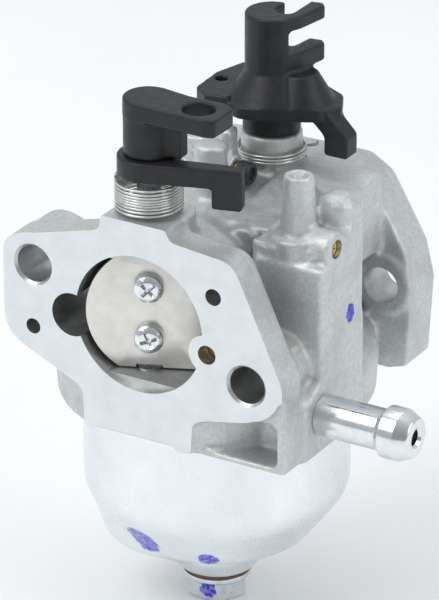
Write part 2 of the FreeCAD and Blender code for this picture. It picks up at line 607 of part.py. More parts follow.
def choke_lever():
    """Upper lever: hub, flat lever with an eye, and a web under it."""
    thickness = s.choke_lever_high - s.choke_lever_low
    plate = prism("choke_lever_plate", "XY", s.choke_lever_low, thickness, [
        (-4.15, -4.15, 4.1), (12.9, -4.5, 1.0), (14.5, -3.9, 0.8), (14.6, 1.9, 0.6), (12.6, 3.5, 2.0),
        (6.0, 3.3, 4.0), (0.6, 4.15, 2.0), (-4.15, 4.15, 4.1)])
    hub = rod("choke_lever_hub", 4.15, s.choke_lever_low - s.choke_arm_high - 0.1, 0, 0, s.choke_arm_high + 0.1)
    web = block("choke_lever_web", (0, -1.4, s.choke_arm_high + 0.5), (6.6, 1.4, s.choke_lever_low + 0.5))
    lever = cut("choke_lever_cut", fused("choke_lever_blank", [plate, hub, web]), [
        rod("choke_lever_bore", s.choke_shaft_r + s.fixed_gap, 6.0, 0, 0, s.choke_arm_high - 0.2),
        rod("choke_lever_eye", 2.7, 8.0, 9.75, -0.7, s.choke_lever_low - 2),
    ])
    node(put(lever, s.choke_x, s.choke_y, 0), "choke_lever")


def choke_arm():
    """Lower arm, free on the shaft, with a tab turned down at its end."""
    height = s.choke_arm_high - s.choke_arm_low
    hub = rod("choke_arm_hub", 5.2, height, 0, 0, s.choke_arm_low)
    bar = prism("choke_arm_bar", "XY", s.choke_arm_low, height, [
        (-1.0, -5.2), (16.4, -4.3, 0.5), (16.4, -1.5, 0.5), (5.0, -1.3, 1.0), (0.0, 1.0)])
    tab = prism("choke_arm_tab", "XZ", -4.2, 2.7, [
        (11.4, 20.8, 0.4), (16.4, 20.8, 0.4), (16.4, 27.0), (11.4, 27.0)])
    arm = cut("choke_arm_cut", fused("choke_arm_blank", [hub, bar, tab]), [
        rod("choke_arm_bore", s.choke_shaft_r + s.running, 6.0, 0, 0, s.choke_arm_low - 1)])
    node(put(arm, s.choke_x, s.choke_y, 0, about_z(s.choke_arm_turn)), "choke_arm")


def coil_spring(name, centre_x, centre_y, low, pitch, turns, coil_r, wire_r, start_turn, ends):
    """A coil with straight end wires; ends are (at the top?, direction in degrees, length)."""
    helix = Part.makeHelix(pitch, pitch * turns, coil_r)
    section = Part.Wire(Part.makeCircle(wire_r, FreeCAD.Vector(coil_r, 0, 0), FreeCAD.Vector(0, 1, 0)))
    coil = Part.Wire(helix).makePipeShell([section], True, True)
    spin = 360.0 * turns
    wires = []
    for at_top, direction, length in ends:
        across, along = polar(coil_r, spin if at_top else 0)
        base = FreeCAD.Vector(across, along, pitch * turns if at_top else 0)
        out = FreeCAD.Vector(*polar(1, direction), 0)
        wires.append(Part.makeCylinder(wire_r, length, base - out * wire_r, out))
    obj = doc.addObject("Part::Feature", name)
    obj.Shape = coil.multiFuse(wires)
    return put(obj, centre_x, centre_y, low, about_z(start_turn))


def springs():
    node(coil_spring("choke_coil", s.choke_x, s.choke_y, 18.35, 0.56, 9.5, 5.4, 0.22, 35.0,
                     [(False, -60.0, 3.0), (True, 150.0, 3.4)]), "choke_return_spring")
    node(coil_spring("throttle_coil", 0, s.throttle_y, 14.3, 0.62, 3.0, 6.5, 0.25, 20.0,
                     [(False, -80.0, 3.0), (True, 0.0, 2.0)]), "throttle_return_spring")


# ---------------------------------------------------------------- throttle

def throttle_pieces():
    turn = about_z(s.throttle_rest_turn)
    half = s.throttle_plate_r + 0.05
    shaft = cut("throttle_rod", rod("throttle_round", s.throttle_shaft_r, 43.0, 0, 0, -11.3), [
        block("throttle_slot", (-4, -0.55, -half), (4, 0.55, half)),
        rod("throttle_screw_hole", 1.05, 6.0, 0, -3, 0, "Y")])
    node(put(shaft, 0, s.throttle_y, 0, turn), "throttle_shaft")
    plate = cut("throttle_disc", rod("throttle_disc_round", s.throttle_plate_r, 1.0, 0, -0.5, 0, "Y"), [
        rod("throttle_disc_hole", 1.05, 4.0, 0, -2, 0, "Y")])
    node(put(plate, 0, s.throttle_y, 0, turn), "throttle_plate")
    screw = turned("throttle_screw", [
        (0, -4.2), (1.5, -4.2, 0.4), (2.0, -3.6), (2.0, -2.53), (1.0, -2.53), (1.0, 2.4), (0, 2.4)], axis="Y")
    node(put(screw, 0, s.throttle_y, 0, turn.multiply(TURN_TO["Y"])), "throttle_plate_screw")
    seal = turned("shaft_seal", [
        (s.throttle_shaft_r + 0.06, s.throttle_boss_top - 1.17), (s.seal_r, s.throttle_boss_top - 1.17),
        (s.seal_r, s.throttle_boss_top - 0.1, 0.3), (s.throttle_shaft_r + 0.06, s.throttle_boss_top - 0.1)],
        y=s.throttle_y)
    node(seal, "throttle_shaft_seal")


def throttle_lever():
    """Moulded lever: fork post on a dome, a rim, an arm with an eye and a leg that meets the stop."""
    rim_t = s.rim_high - s.rim_low
    rim = prism("lever_rim", "XY", s.rim_low, rim_t, [
        (-6.4, -6.8, 1.5), (-1.8, -8.3, 1.5), (1.8, -7.8, 2.0), (10.6, -3.0, 1.5), (13.0, 0.6, 1.0),
        (10.5, 5.6, 2.0), (5.5, 8.2, 2.0), (-7.0, 8.0, 3.0)])
    dome = taper("lever_dome", 7.7, 4.6, 4.8, 0.4, 0, s.rim_high)
    flank = taper("lever_flank", 5.6, 2.8, 4.8, 5.4, 0.4, s.rim_high)
    post = common("lever_post", rod("post_round", 4.6, s.fork_top - s.rim_high, 0, 0, s.rim_high),
                  prism("post_side", "XY", s.rim_high - 1, 18.0, [
                      (-6.0, -6.0), (6.6, -6.0), (-0.4, 6.0), (-6.0, 6.0)]))
    hub = rod("lever_hub", 4.9, s.rim_low - s.hub_low, 0, 0, s.hub_low)
    arm = prism("lever_arm", "XY", 23.1, 2.9, [
        (-11.4, -5.6, 1.2), (-8.4, -7.8, 0.8), (-4.4, -7.4), (-4.0, 7.6), (-10.0, 8.2, 1.2),
        (-11.8, 1.5, 2.0)])
    leg = prism("lever_leg", "XZ", -1.9, 3.9, [
        (7.0, s.rim_high), (10.8, s.rim_high, 1.0), (15.3, 20.6, 0.8), (15.3, 16.9, 0.5), (10.9, 16.9, 0.5),
        (10.9, 20.2, 1.5), (8.0, s.rim_low)])
    prongs = []
    for low, high in ((30.0, 33.2), (37.4, s.fork_top)):
        prongs.append(prism("fork_prong", "XY", low, high - low, [
            (0.2, -4.4), (3.6, -3.4, 1.5), (5.3, 0.4, 6.0), (6.3, 6.5, 0.4), (5.4, 7.6, 0.4), (2.8, 7.2, 0.4),
            (1.9, 2.6, 2.0), (-1.0, 0.5)]))
    blank = fused("lever_blank", [rim, dome, flank, post, hub, arm, leg] + prongs)
    slot = prism("fork_slot", "XY", 33.0, 9.0, [
        (-0.4, 0.5, 1.5), (3.2, -0.4, 1.5), (3.2, 8.5), (0.4, 8.5)])
    lever = cut("lever_cut", blank, [
        slot, rod("lever_bore", s.throttle_shaft_r + s.fixed_gap, 13.0, 0, 0, s.hub_low - 0.1),
        rod("arm_eye", 1.05, 6.0, -9.5, -0.4, 22.0)])
    node(put(lever, 0, s.throttle_y, 0), "throttle_lever")


def idle_screw():
    """Mixture screw with a dark plastic limiter cap, lying across the top of the throttle bore."""
    screw = turned("screw", [
        (0, 0), (0.5, 1.5), (1.35, 2.5), (1.35, 6.6), (0, 6.6)], -6.9, 32.9, 14.7, "X")
    node(screw, "idle_mixture_screw")
    cap = turned("screw_cap", [
        (0, 0), (1.95, 0), (1.95, 2.4, 0.5), (1.1, 2.4), (0.9, 1.8), (0, 1.8)], -0.25, 32.9, 14.7, "X")
    node(cap, "mixture_limiter_cap")


# ---------------------------------------------------------------- build, check and write

body_casting()
float_bowl()
bowl_gasket()
bowl_bolt()
fuel_nipple()
fuel_valve()
jets()
float_pieces()
choke_pieces()
choke_lever()
choke_arm()
springs()
throttle_pieces()
throttle_lever()
idle_screw()
doc.recompute()

for obj in doc.Objects:
    bad = [state for state in obj.State if state in ("Invalid", "Error")]
    if bad:
        raise SystemExit(f"{obj.Name} did not compute: {bad}")

os.makedirs("parts", exist_ok=True)
for obj in NODES:
    if obj.Shape.isNull() or not obj.Shape.isValid():
        raise SystemExit(f"{obj.Label} has no valid shape")
    obj.Shape.exportStep(f"parts/{obj.Label}.step")
    print(obj.Label, "solids", len(obj.Shape.Solids), "volume", round(obj.Shape.Volume, 1))
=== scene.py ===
import math

import bmesh
import bpy
import numpy as np
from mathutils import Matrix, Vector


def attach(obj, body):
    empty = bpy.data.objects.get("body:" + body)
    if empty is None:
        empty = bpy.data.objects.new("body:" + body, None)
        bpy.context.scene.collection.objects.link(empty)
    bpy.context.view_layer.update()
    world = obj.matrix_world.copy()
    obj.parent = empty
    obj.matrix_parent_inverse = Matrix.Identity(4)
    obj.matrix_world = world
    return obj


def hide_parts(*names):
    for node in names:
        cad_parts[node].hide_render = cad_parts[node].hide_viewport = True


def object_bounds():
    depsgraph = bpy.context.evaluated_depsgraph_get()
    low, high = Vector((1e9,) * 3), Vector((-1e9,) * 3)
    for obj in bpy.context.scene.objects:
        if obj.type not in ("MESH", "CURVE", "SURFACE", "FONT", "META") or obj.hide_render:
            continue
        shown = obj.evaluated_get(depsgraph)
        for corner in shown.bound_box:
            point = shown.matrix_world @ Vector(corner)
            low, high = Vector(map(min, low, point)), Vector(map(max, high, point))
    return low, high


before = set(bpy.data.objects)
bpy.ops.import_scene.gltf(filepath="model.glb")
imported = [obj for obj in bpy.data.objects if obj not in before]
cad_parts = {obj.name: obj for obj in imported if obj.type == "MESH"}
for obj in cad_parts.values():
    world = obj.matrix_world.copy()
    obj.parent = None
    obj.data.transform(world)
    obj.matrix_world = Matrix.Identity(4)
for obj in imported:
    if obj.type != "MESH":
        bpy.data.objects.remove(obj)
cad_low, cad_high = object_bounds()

import openvdb
from mathutils import Matrix, Vector

# Looks for the float carburetor. Shapes are worked out in millimetres and scaled to metres when
# a mesh is made. X runs towards the fuel nipple, Y with the air, Z up.

MM = 0.001
CHOKE_X, CHOKE_Y = -1.5, 6.0
THROTTLE_Y = 43.0
BOWL_Y = 25.0
DEPTH = 53.0
STUD_X, STUD_Z = 20.1, 6.082
WALL_X = 27.7
CHAMBER_BOTTOM = -20.6
BOWL_FLOOR = -54.4
CHOKE_BOSS_TOP = 17.8
THROTTLE_BOSS_TOP = 18.9
SEAL_R = 3.9
SEAL_DEPTH = 1.2
FIXED_GAP = 0.03
NIPPLE_Y, NIPPLE_Z = 11.7, -14.1
CHOKE_PLATE_TURN = math.radians(25.0)
THROTTLE_TURN = math.radians(-8.0)
JET_LOBE_R = 3.4
MACHINED_SPARE = 1.5
CAST_HOLLOW_ROUND, CAST_EDGE_ROUND, CAST_VOXEL = 0.8, 0.4, 0.28
FRONT_BOSS_BACK, REAR_BOSS_FRONT = 11.0, 44.8


# ---------------------------------------------------------------- node materials

def add(mat, kind, inputs=None, **properties):
    """A shader node with its inputs set or linked; returns its outputs."""
    node = mat.node_tree.nodes.new("ShaderNode" + kind)
    for name, value in properties.items():
        setattr(node, name, value)
    for name, value in (inputs or {}).items():
        if isinstance(value, bpy.types.NodeSocket):
            mat.node_tree.links.new(value, node.inputs[name])
        else:
            node.inputs[name].default_value = value
    return node.outputs


def place_of(mat):
    return add(mat, "TexCoord")["Object"]


def grain(mat, size, detail=3.0, stretch=(1, 1, 1), distortion=0.0):
    """Noise whose features are about size millimetres across."""
    spread = add(mat, "Mapping", {"Vector": place_of(mat), "Scale": stretch})["Vector"]
    scale = 1 / (size * MM)
    return add(mat, "TexNoise", {"Vector": spread, "Scale": scale, "Detail": detail,
                                 "Distortion": distortion})["Fac"]


def between(mat, value, low, high, start=0.0, stop=1.0):
    """Map start..stop to low..high, held at the ends."""
    return add(mat, "MapRange", {"Value": value, "From Min": start, "From Max": stop,
                                 "To Min": low, "To Max": high})["Result"]


def mixed(mat, amount, first, second):
    def colour(value):
        return value if isinstance(value, bpy.types.NodeSocket) else (*value, 1)
    return add(mat, "Mix", {0: amount, 6: colour(first), 7: colour(second)}, data_type="RGBA")[2]


def bumped(mat, height, depth, normal=None):
    """A normal from a height field that is depth millimetres from low to high."""
    inputs = {"Height": height, "Distance": depth * MM, "Strength": 1.0}
    if normal:
        inputs["Normal"] = normal
    return add(mat, "Bump", inputs)["Normal"]


def finish(name, colour, rough, metal, bumps, **sockets):
    """A Principled material: colour and rough are made by functions of the material."""
    mat = bpy.data.materials.new(name)
    mat.use_nodes = True
    shader = mat.node_tree.nodes["Principled BSDF"]
    shader.inputs["Metallic"].default_value = metal
    for socket, value in sockets.items():
        shader.inputs[socket.replace("_", " ")].default_value = value
    mat.node_tree.links.new(colour(mat), shader.inputs["Base Color"])
    mat.node_tree.links.new(rough(mat), shader.inputs["Roughness"])
    normal = None
    for height, depth in bumps:
        normal = bumped(mat, height(mat), depth, normal)
    if normal:
        mat.node_tree.links.new(normal, shader.inputs["Normal"])
    return mat


def speckled(first, second, size, low=0.3, high=0.7, detail=4.0, stretch=(1, 1, 1)):
    """A colour that wanders between two shades over patches of a size."""
    return lambda mat: mixed(mat, between(mat, grain(mat, size, detail, stretch), 0, 1, low, high),
                             first, second)


def uneven(low, high, size, detail=4.0, stretch=(1, 1, 1)):
    """A roughness that wanders between two values."""
    return lambda mat: between(mat, grain(mat, size, detail, stretch), low, high, 0.3, 0.7)


def relief(size, detail=2.0, stretch=(1, 1, 1)):
    """A height that rises and falls over a size."""
    return lambda mat: grain(mat, size, detail, stretch)


def worn_and_shaded(colour, edge, painted_hollow_shade):
    """Lightens convex edges as tumbling wear does, and darkens hollows with painted shade."""
    def build(mat):
        point = add(mat, "NewGeometry")["Pointiness"]
        # hollows take a painted shade colour in place of the shade that falls there
        hollow_shaded = mixed(mat, between(mat, point, 1, 0, 0.42, 0.495), colour(mat), painted_hollow_shade)
        return mixed(mat, between(mat, point, 0, 0.8, 0.52, 0.60), hollow_shaded, edge)
    return build


def stained(colour, stain, size, amount):
    """Scattered darker patches over a colour."""
    def build(mat):
        cover = between(mat, grain(mat, size, 5.0), 0, amount, 0.46, 0.66)
        return mixed(mat, cover, colour(mat), stain)
    return build


def dabbed(colour, dabs, paint=(0.06, 0.05, 0.62)):
    """Inspection paint: dabs are (centre, size) in millimetres, with ragged edges."""
    def build(mat):
        shown = colour(mat)
        ragged = add(mat, "TexNoise", {"Vector": place_of(mat), "Scale": 700.0, "Detail": 3.0})["Color"]
        shaken = add(mat, "VectorMath", {0: ragged, 1: (0.0016, 0.0016, 0.0016)}, operation="MULTIPLY")[0]
        moved = add(mat, "VectorMath", {0: place_of(mat), 1: shaken}, operation="ADD")[0]
        for centre, size in dabs:
            away = add(mat, "VectorMath", {0: moved, 1: [c * MM + 0.0008 for c in centre]},
                       operation="SUBTRACT")[0]
            unit = add(mat, "VectorMath", {0: away, 1: [1 / (v * MM) for v in size]},
                       operation="MULTIPLY")[0]
            far = add(mat, "VectorMath", {0: unit}, operation="LENGTH")[1]
            cover = between(mat, far, 1.0, 0.0, 0.85, 1.0)
            thin = between(mat, grain(mat, 0.8), 0.65, 1.0, 0.4, 0.6)
            cover = add(mat, "Math", {0: cover, 1: thin}, operation="MULTIPLY")[0]
            shown = mixed(mat, cover, shown, paint)
        return shown
    return build


def rings(mat, centre, pitch, axis="Y"):
    """Turning marks round an axis through centre, as a height."""
    moved = add(mat, "Mapping", {"Vector": place_of(mat), "Location": [-c * MM for c in centre]})["Vector"]
    return add(mat, "TexWave", {"Vector": moved, "Scale": 0.314 / (pitch * MM) / 2, "Distortion": 1.0,
                                "Detail": 1.0}, wave_type="RINGS", rings_direction=axis)["Fac"]


# Paint marks, each as (centre, half size).
WALL_PAINT = [((28.0, 20.5, 0.5), (2.0, 1.4, 1.9))]
BOWL_PAINT = [((-3.4, 6.5, -43.0), (3.2, 3.6, 4.6)), ((7.3, 9.7, -45.3), (1.7, 2.0, 2.6))]
BOLT_PAINT = [((1.1, 19.9, -57.4), (1.6, 1.5, 1.6))]
CAST_LIGHT, CAST_DARK = (0.64, 0.66, 0.66), (0.55, 0.57, 0.572)
CAST_STAIN = (0.46, 0.47, 0.465)
# The hollow colour is painted shade for the casting's recesses; the edge colour is worn edges.
CAST_EDGE, CAST_HOLLOW_SHADE = (0.78, 0.765, 0.725), (0.15, 0.135, 0.11)

# Casting colour: mottling, stains and worn edges, with painted shade darkening its hollows.
cast = finish(
    "cast_alloy",
    dabbed(worn_and_shaded(stained(speckled(CAST_LIGHT, CAST_DARK, 0.7, 0.36, 0.64), CAST_STAIN, 6.0, 0.5),
                CAST_EDGE, CAST_HOLLOW_SHADE),
           WALL_PAINT),
    uneven(0.42, 0.58, 1.2), 0.72,
    [(relief(0.3, 3.0), 0.07), (relief(3.0, 2.0), 0.12)])

machined = finish(
    "machined_alloy",
    speckled((0.76, 0.79, 0.81), (0.68, 0.715, 0.735), 4.0),
    uneven(0.30, 0.42, 1.5), 0.92,
    [(lambda mat: rings(mat, (0, 0, 0), 0.35), 0.0016), (relief(0.3, 2.0), 0.004)])

bore_metal = finish(
    "bored_alloy",
    speckled((0.60, 0.61, 0.61), (0.47, 0.475, 0.47), 2.5),
    uneven(0.28, 0.45, 1.0), 0.9,
    [(relief(0.25, 2.0, (1, 0.15, 1)), 0.006)])

zinc_bowl = finish(
    "zinc_plated_bowl",
    dabbed(speckled((0.86, 0.90, 0.92), (0.79, 0.83, 0.855), 6.0, 0.25, 0.75),
           BOWL_PAINT),
    uneven(0.20, 0.31, 4.0), 0.96,
    [(relief(0.8, 2.0, (1, 1, 0.12)), 0.003), (relief(7.0, 1.0), 0.05)])

zinc_bright = finish(
    "bright_zinc",
    speckled((0.84, 0.86, 0.87), (0.72, 0.745, 0.76), 2.0),
    uneven(0.12, 0.24, 1.0), 1.0,
    [(relief(0.3, 2.0), 0.003)])

zinc_bolt = finish(
    "zinc_plated_bolt",
    dabbed(speckled((0.80, 0.83, 0.85), (0.66, 0.69, 0.71), 1.5),
           BOLT_PAINT),
    uneven(0.16, 0.30, 0.9), 1.0,
    [(relief(0.4, 2.0), 0.006)])

steel_spring = finish(
    "spring_steel",
    speckled((0.72, 0.72, 0.71), (0.56, 0.56, 0.55), 0.8),
    uneven(0.32, 0.40, 1.5, 1.0), 1.0,
    [(relief(0.6, 0.0), 0.0008)])

steel_shaft = finish(
    "shaft_steel",
    speckled((0.66, 0.67, 0.68), (0.52, 0.53, 0.54), 1.5),
    uneven(0.20, 0.34, 0.7, stretch=(1, 1, 6)), 1.0,
    [(relief(0.2, 2.0, (1, 1, 6)), 0.003)])

plate_metal = finish(
    "plate_steel",
    speckled((0.80, 0.79, 0.75), (0.70, 0.69, 0.65), 3.0),
    uneven(0.30, 0.44, 1.2), 0.9,
    [(relief(0.25, 2.0, (0.2, 0.2, 1.6)), 0.004), (relief(2.5, 2.0), 0.012)])

brass = finish(
    "brass",
    speckled((0.74, 0.53, 0.24), (0.56, 0.38, 0.15), 0.8),
    uneven(0.20, 0.36, 0.5), 1.0,
    [(relief(0.2, 2.0), 0.004)])

# Black nylon: lighter worn edges, with painted shade darkening its hollows.
nylon = finish(
    "black_nylon",
    worn_and_shaded(speckled((0.016, 0.0165, 0.018), (0.023, 0.0235, 0.025), 2.0),
         (0.048, 0.05, 0.053), (0.010, 0.010, 0.011)),
    uneven(0.34, 0.50, 1.0), 0.0,
    [(relief(0.22, 2.0), 0.008), (relief(2.0, 2.0), 0.02)], Specular_IOR_Level=0.30)

cap_plastic = finish(
    "cap_plastic",
    speckled((0.020, 0.021, 0.022), (0.035, 0.036, 0.038), 0.8),
    uneven(0.38, 0.52, 0.6), 0.0, [(relief(0.2, 2.0), 0.006)])

rubber = finish(
    "rubber",
    speckled((0.018, 0.018, 0.018), (0.030, 0.030, 0.029), 1.0),
    uneven(0.55, 0.72, 0.6), 0.0, [(relief(0.15, 2.0), 0.008)])

fibre = finish(
    "fibre",
    speckled((0.10, 0.045, 0.035), (0.16, 0.075, 0.055), 0.7),
    uneven(0.60, 0.80, 0.5), 0.0, [(relief(0.2, 3.0), 0.012)])

float_plastic = finish(
    "float_plastic",
    speckled((0.025, 0.025, 0.026), (0.045, 0.045, 0.046), 2.0),
    uneven(0.40, 0.58, 1.0), 0.0, [(relief(0.6, 3.0), 0.012)])


# ---------------------------------------------------------------- mesh tools

TURN_TO = {
    "X": Matrix.Rotation(math.pi / 2, 4, "Y"),
    "Y": Matrix.Rotation(-math.pi / 2, 4, "X"),
    "Z": Matrix.Identity(4),
}


def piece(name, bm, material=None, move=None):
    """A new object from a bmesh in millimetres."""
    bmesh.ops.recalc_face_normals(bm, faces=bm.faces)
    bm.transform(Matrix.Scale(MM, 4) @ (move or Matrix.Identity(4)))
    mesh = bpy.data.meshes.new(name)
    bm.to_mesh(mesh)
    bm.free()
    if material:
        mesh.materials.append(material)
    obj = bpy.data.objects.new(name, mesh)
    bpy.context.scene.collection.objects.link(obj)
    return obj


def arced(corners, steps=10):
    """Points of a closed outline; a corner is (across, up) or (across, up, round-off radius)."""
    points = []
    for i, corner in enumerate(corners):
        here = Vector(corner[:2])
        if len(corner) < 3:
            points.append(here)
            continue
        to_last = (Vector(corners[i - 1][:2]) - here).normalized()
        to_next = (Vector(corners[(i + 1) % len(corners)][:2]) - here).normalized()
        half = to_last.angle(to_next) / 2
        centre = here + (to_last + to_next).normalized() * corner[2] / math.sin(half)
        first = here + to_last * corner[2] / math.tan(half) - centre
        last = here + to_next * corner[2] / math.tan(half) - centre
        for k in range(steps + 1):
            toward = first.lerp(last, k / steps).normalized()
            points.append(centre + toward * corner[2])
    return points


def placed(x=0, y=0, z=0, axis="Z"):
    return Matrix.Translation((x, y, z)) @ TURN_TO[axis]


def lathe(name, corners, move=None, material=None, sides=96):
    """A closed half outline (radius, height) turned about Z, then moved."""
    bm = bmesh.new()
    loops = []
    for radius, height in arced(corners):
        if radius < 1e-6:
            loops.append([bm.verts.new((0, 0, height))])
            continue
        angles = [2 * math.pi * k / sides for k in range(sides)]
        loops.append([bm.verts.new((radius * math.cos(a), radius * math.sin(a), height)) for a in angles])
    for i, low in enumerate(loops):
        high = loops[(i + 1) % len(loops)]
        if len(low) == 1 and len(high) == 1:
            continue
        for k in range(sides):
            after = (k + 1) % sides
            corner = [low[k % len(low)], low[after % len(low)],
                      high[after % len(high)], high[k % len(high)]]
            bm.faces.new(list(dict.fromkeys(corner)))
    return piece(name, bm, material, move)


def prism(name, corners, low, high, move=None, material=None):
    """An outline (across, up) lifted from low to high along Z, then moved."""
    bm = bmesh.new()
    points = arced(corners)
    bottom = [bm.verts.new((*p, low)) for p in points]
    top = [bm.verts.new((*p, high)) for p in points]
    bm.faces.new(bottom[::-1])
    bm.faces.new(top)
    for k in range(len(points)):
        after = (k + 1) % len(points)
        bm.faces.new([bottom[k], bottom[after], top[after], top[k]])
    return piece(name, bm, material, move)


def rod(name, radius, length, move, material=None, sides=64):
    return lathe(name, [(0, 0), (radius, 0), (radius, length), (0, length)], move, material, sides)


def box(name, low, high, material=None, move=None):
    corners = [(low[0], low[1]), (high[0], low[1]), (high[0], high[1]), (low[0], high[1])]
    return prism(name, corners, low[2], high[2], move, material)


def settle(obj):
    """Turn an object's modifiers into its mesh."""
    graph = bpy.context.evaluated_depsgraph_get()
    mesh = bpy.data.meshes.new_from_object(obj.evaluated_get(graph), depsgraph=graph)
    obj.modifiers.clear()
    obj.data = mesh
    return obj


def discard(objects):
    for obj in objects:
        bpy.data.objects.remove(obj)


def carve(obj, tools, operation="DIFFERENCE"):
    """Cut, join or intersect closed meshes; faces cut by a tool take the tool's material."""
    for tool in tools:
        step = obj.modifiers.new("carve", "BOOLEAN")
        step.operation = operation
        step.solver = "MANIFOLD"
        step.object = tool
        step.material_mode = "TRANSFER"
    settle(obj)
    discard(tools)
    return obj


def bevelled(obj, width, segments=2, angle=40):
    edge = obj.modifiers.new("bevel", "BEVEL")
    edge.width = width * MM
    edge.segments = segments
    edge.limit_method = "ANGLE"
    edge.angle_limit = math.radians(angle)
    edge.use_clamp_overlap = True
    return settle(obj)


def smoothed(obj, passes):
    step = obj.modifiers.new("smooth", "SMOOTH")
    step.factor = 0.5
    step.iterations = passes
    return settle(obj)


def shaded(obj, angle=35):
    mesh = obj.data
    mesh.polygons.foreach_set("use_smooth", [True] * len(mesh.polygons))
    mesh.set_sharp_from_angle(angle=math.radians(angle))
    mesh.update()
    return obj


def hand_in(obj, body, slot, *nodes, angle=35):
    """Shade a piece, let it ride on a body and stand for CAD nodes."""
    shaded(obj, angle)
    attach(obj, body)
    if nodes:
        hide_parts(*nodes)
    return obj


# ---------------------------------------------------------------- rounding with level sets

def solid_of(obj):
    """Points in millimetres and triangles of an object's mesh."""
    mesh = obj.data
    mesh.calc_loop_triangles()
    points = np.empty(len(mesh.vertices) * 3, np.float32)
    mesh.vertices.foreach_get("co", points)
    triangles = np.empty(len(mesh.loop_triangles) * 3, np.int32)
    mesh.loop_triangles.foreach_get("vertices", triangles)
    return points.reshape(-1, 3) / MM, triangles.reshape(-1, 3).astype(np.uint32)


def joined(solids):
    points, triangles, count = [], [], 0
    for p, t in solids:
        points.append(p)
        triangles.append(t + count)
        count += len(p)
    return np.concatenate(points), np.concatenate(triangles)


def level_set(points, triangles, quads, voxel, reach):
    cells = openvdb.createLinearTransform(voxelSize=voxel)
    half = max(3.0, reach / voxel + 2)
    return openvdb.FloatGrid.createLevelSetFromPolygons(points, triangles, quads, cells, half)


def shifted(solid, offsets, voxel):
    """Grow and shrink a solid by offsets in turn: out, in, out rounds its corners."""
    points, triangles = solid
    quads = None
    for offset in offsets:
        grid = level_set(points, triangles, quads, voxel, abs(offset))
        points, triangles, quads = grid.convertToPolygons(offset, 0)
    return points, triangles, quads


def from_polygons(name, polygons, material):
    points, triangles, quads = polygons
    mesh = bpy.data.meshes.new(name)
    faces = [f[::-1] for f in quads.tolist()] + [f[::-1] for f in triangles.tolist()]
    mesh.from_pydata((points * MM).tolist(), [], faces)
    mesh.materials.append(material)
    obj = bpy.data.objects.new(name, mesh)
    bpy.context.scene.collection.objects.link(obj)
    return obj


def softened(name, solid, hollow_round, edge_round, voxel, material, passes):
    """A solid whose inside corners and outside edges are rounded to two radii."""
    offsets = (hollow_round, -hollow_round - edge_round, edge_round)
    return smoothed(from_polygons(name, shifted(solid, offsets, voxel), material), passes)


# ---------------------------------------------------------------- the casting

def mouth_tool():
    """Round mouth with flats above and below, and the lip in front of it."""
    flat, radius = 10.2, 12.0
    side = math.asin(flat / radius)
    arc = [-side + 2 * side * k / 32 for k in range(33)]
    right = [(radius * math.cos(a), radius * math.sin(a)) for a in arc]
    left = [(-x, -z) for x, z in right]
    up_to_y = Matrix.Rotation(math.pi / 2, 4, "X")
    return prism("mouth", right + left, -18.0, 1.0, up_to_y, bore_metal)


def casting_tools():
    """Everything that is drilled, bored or milled after casting."""
    lobe = placed(12.8, -2, -2.3, "Y")
    lip = carve(rod("lip", 12.0, 2.0, placed(0, -1, 0, "Y"), bore_metal, 128),
                [rod("jet_lobe", JET_LOBE_R, 6.0, lobe, bore_metal)])
    mouth = carve(mouth_tool(), [rod("jet_lobe", JET_LOBE_R, 6.0, lobe, bore_metal)])
    throat = lathe("throat", [
        (0, 17.0), (9.9, 17.0), (8.4, 23.0, 6.0), (8.4, 27.0, 4.0), (9.5, 34.0, 4.0),
        (9.5, DEPTH + 2), (0, DEPTH + 2)], placed(axis="Y"), bore_metal, 128)
    recess = rod("recess", 3.8, 10.0, placed(-12.7, -1, -1.2, "Y"), bore_metal)
    tools = [lip, mouth, throat, recess]
    for side in (-1, 1):
        tools.append(lathe("stud_hole", [
            (0, -2), (5.65, -2), (3.65, 0), (3.2, 0.45),
            (3.2, DEPTH - 0.4), (3.6, DEPTH), (5.6, DEPTH + 2), (0, DEPTH + 2)],
            placed(STUD_X * side, 0, -STUD_Z * side, "Y"), bore_metal, 96))
    tools += [
        rod("locating_left", 1.35, 6.0, placed(-20.2, -1, -5.0, "Y"), bore_metal, 48),
        rod("locating_right", 1.45, 6.0, placed(14.0, -1, 8.2, "Y"), bore_metal, 48),
        rod("air_passage", 1.65, 9.0, placed(12.8, -1, -2.3, "Y"), bore_metal, 48),
        rod("choke_hole", 2.05, 34.0, placed(CHOKE_X, CHOKE_Y, -13.2), bore_metal, 48),
        rod("throttle_hole", 2.55, 32.0, placed(0, THROTTLE_Y, -11.5), bore_metal, 48),
        rod("seal_seat", SEAL_R + FIXED_GAP, 2.0,
            placed(0, THROTTLE_Y, THROTTLE_BOSS_TOP - SEAL_DEPTH), bore_metal, 64),
        rod("fuel_hole", 2.53, 12.6, placed(16.0, NIPPLE_Y, NIPPLE_Z, "X"), bore_metal, 48),
        rod("plug_hole", 1.6, 6.0, placed(24.0, 15.8, 13.6, "X"), bore_metal, 48),
        lathe("post_dimple", [(0, 24.1), (0.9, 24.2, 0.3), (1.7, 25.4), (1.7, 27), (0, 27)],
              placed(20.5, 16.0, 0), cast, 48),
    ]
    return tools


